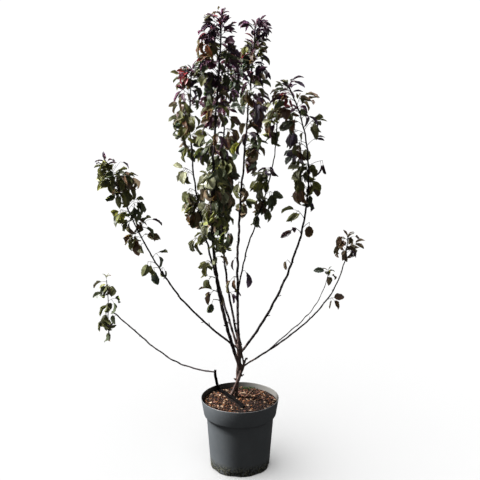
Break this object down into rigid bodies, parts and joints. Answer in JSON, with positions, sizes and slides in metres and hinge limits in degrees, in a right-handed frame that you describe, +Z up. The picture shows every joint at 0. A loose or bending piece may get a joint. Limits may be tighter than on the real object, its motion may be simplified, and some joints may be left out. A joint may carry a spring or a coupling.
{
  "type": "potted toringo crabapple shrub",
  "caption": "Many-stemmed toringo crabapple shrub with purple, bronze and green leaves, in a round dark grey nursery pot of bark growing medium.",
  "frame": {"origin": "centre of the pot's flat underside", "axes": "+Z up along the pot's axis, -Y towards the front of the plant, +X to its right"},
  "size_m": [0.9829, 0.4607, 1.6083],
  "materials": {
    "pot_plastic": "dull dark grey-green moulded nursery pot, dusty, with dirt round its foot",
    "growing_medium": "loose orange-brown bark chips and dark peat with a little moss",
    "old_bark": "grey-brown bark with pale upright streaks",
    "young_bark": "dark purple-brown young bark with small pale pores and buds",
    "leaves": "dark green, olive and bronze leaves with brown dry ones, slightly glossy",
    "young_leaves": "dark purple young leaves with crimson ones among them"
  },
  "bodies": {
    "root": {"bough_a": "young_bark", "bough_b": "young_bark", "bough_b_upper": "young_bark", "bough_c": "young_bark", "bough_d": "young_bark", "bough_e": "young_bark", "bough_e_upper": "young_bark", "bough_f": "young_bark", "bough_g": "young_bark", "bough_g_fork": "young_bark", "bough_h": "young_bark", "bough_i": "young_bark", "growing_medium": "growing_medium", "leaves_a_1": "leaves", "leaves_a_2": "leaves", "leaves_a_3": "leaves", "leaves_a_4": "leaves", "leaves_a_5": "leaves", "leaves_a_6": "young_leaves", "leaves_b_1": "leaves", "leaves_b_2": "leaves", "leaves_b_3": "leaves", "leaves_b_4": "young_leaves", "leaves_c_1": "leaves", "leaves_c_2": "leaves", "leaves_c_3": "leaves", "leaves_c_4": "young_leaves", "leaves_d_1": "leaves", "leaves_d_2": "leaves", "leaves_d_3": "leaves", "leaves_d_4": "leaves", "leaves_d_5": "young_leaves", "leaves_e_1": "leaves", "leaves_e_2": "young_leaves", "leaves_f_1": "leaves", "leaves_f_2": "leaves", "leaves_f_3": "young_leaves", "leaves_g_1": "young_leaves", "leaves_g_fork_1": "young_leaves", "leaves_h_1": "leaves", "leaves_h_2": "leaves", "leaves_h_3": "young_leaves", "leaves_i_tip_1": "leaves", "leaves_i_tip_2": "young_leaves", "low_stem": "young_bark", "low_stem_riser": "young_bark", "pot": "pot_plastic", "pruned_stub": "young_bark", "right_stem": "old_bark", "right_stem_top": "young_bark", "trunk": "old_bark"}
  },
  "joints": []
}
